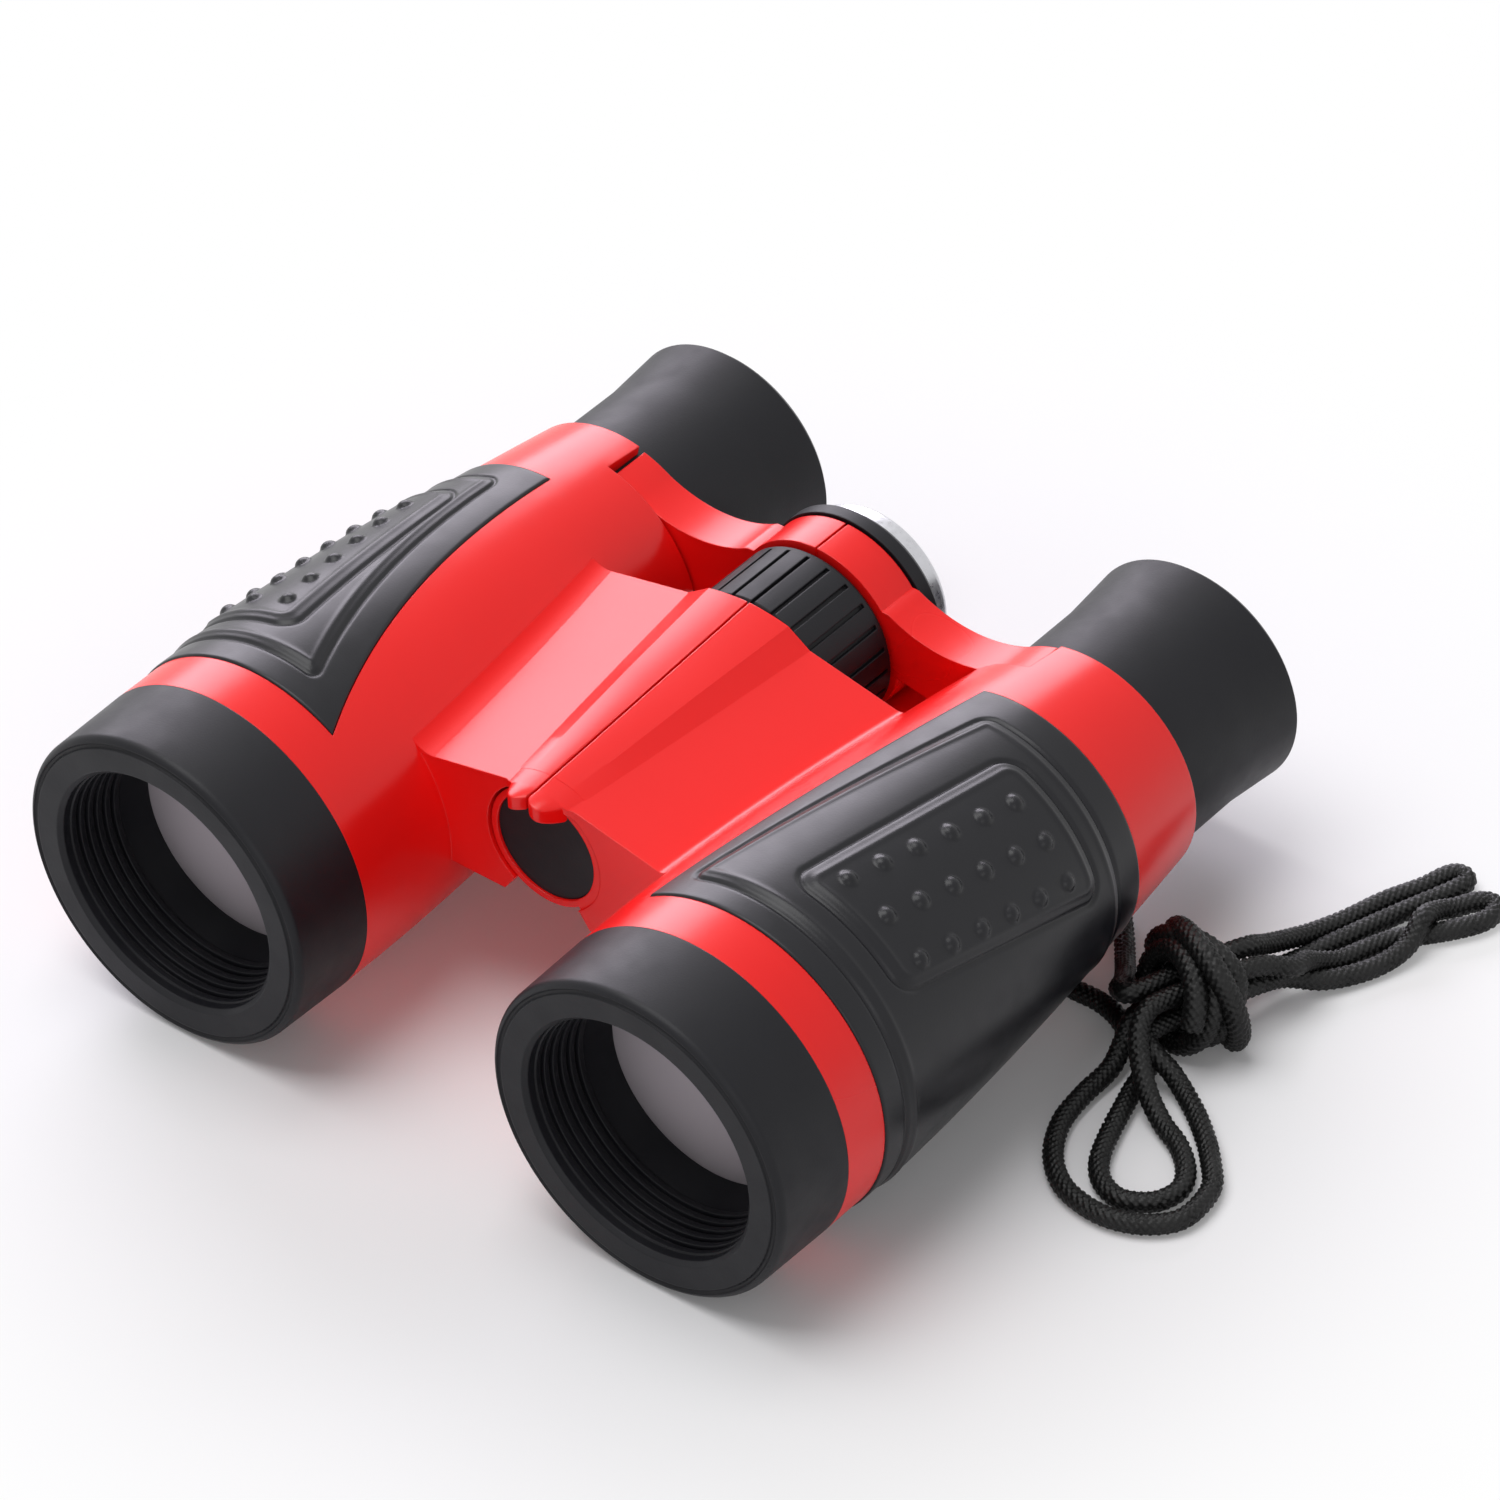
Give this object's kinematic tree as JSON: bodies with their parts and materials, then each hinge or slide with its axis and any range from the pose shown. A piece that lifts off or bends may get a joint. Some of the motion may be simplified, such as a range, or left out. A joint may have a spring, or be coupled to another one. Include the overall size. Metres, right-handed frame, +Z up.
{
  "type": "toy binoculars",
  "caption": "Toy binoculars with folding red barrels on a centre hinge, black grips, hoods and eyepieces, a focus wheel that slides the eyepieces, and a knotted neck cord.",
  "frame": {"origin": "ground point under the middle of the object without its neck cord, on the plane of the hinge axis", "axes": "+X from the left barrel to the right barrel, +Y from the objectives towards the eyepieces, +Z up from the ground"},
  "size_m": [0.123, 0.1013, 0.0384],
  "materials": {
    "red_plastic": "gloss",
    "black_plastic": "satin",
    "black_grip": "matte",
    "lens": "gloss",
    "silver": "brushed",
    "steel": "brushed",
    "cord": "matte"
  },
  "bodies": {
    "right_half": {"right_barrel": "red_plastic", "right_grip": "black_grip", "right_objective_hood": "black_plastic", "right_objective_lens": "lens", "right_lens_ring": "black_plastic", "hinge_axle": "steel", "front_hinge_cap": "black_plastic", "axle_screw": "steel", "neck_cord": "cord", "cord_knot": "cord"},
    "left_half": {"left_barrel": "red_plastic", "left_grip": "black_grip", "left_objective_hood": "black_plastic", "left_objective_lens": "lens", "left_lens_ring": "black_plastic"},
    "focus_wheel": {"focus_wheel": "black_plastic", "focus_screw": "black_plastic"},
    "right_eyepiece": {"right_eyepiece_tube": "black_plastic", "right_eyepiece_lens": "lens", "right_eyepiece_ring": "black_plastic", "right_arm": "red_plastic", "focus_nut": "red_plastic", "rear_cap": "black_plastic", "rear_cap_disc": "silver"},
    "left_eyepiece": {"left_eyepiece_tube": "black_plastic", "left_eyepiece_lens": "lens", "left_eyepiece_ring": "black_plastic", "left_arm": "red_plastic"}
  },
  "joints": [
    {"name": "fold", "type": "hinge", "parent": "right_half", "child": "left_half", "pos_m": [0, 0, 0.025], "axis": [0, -1, 0], "range_deg": [0, 38]},
    {"name": "focus_turn", "type": "hinge", "parent": "right_half", "child": "focus_wheel", "pos_m": [0, 0, 0.025], "axis": [0, 1, 0], "range_deg": [0, 450]},
    {"name": "right_focus_slide", "type": "slide", "parent": "right_half", "child": "right_eyepiece", "axis": [0, 1, 0], "range_m": [0, 0.005]},
    {"name": "left_focus_slide", "type": "slide", "parent": "left_half", "child": "left_eyepiece", "axis": [0, 1, 0], "range_m": [0, 0.005]}
  ],
  "couplings": [
    {"joint": "focus_turn", "follows": "right_focus_slide", "rad_per_m": 1570.8},
    {"joint": "left_focus_slide", "follows": "right_focus_slide", "ratio": 1}
  ]
}
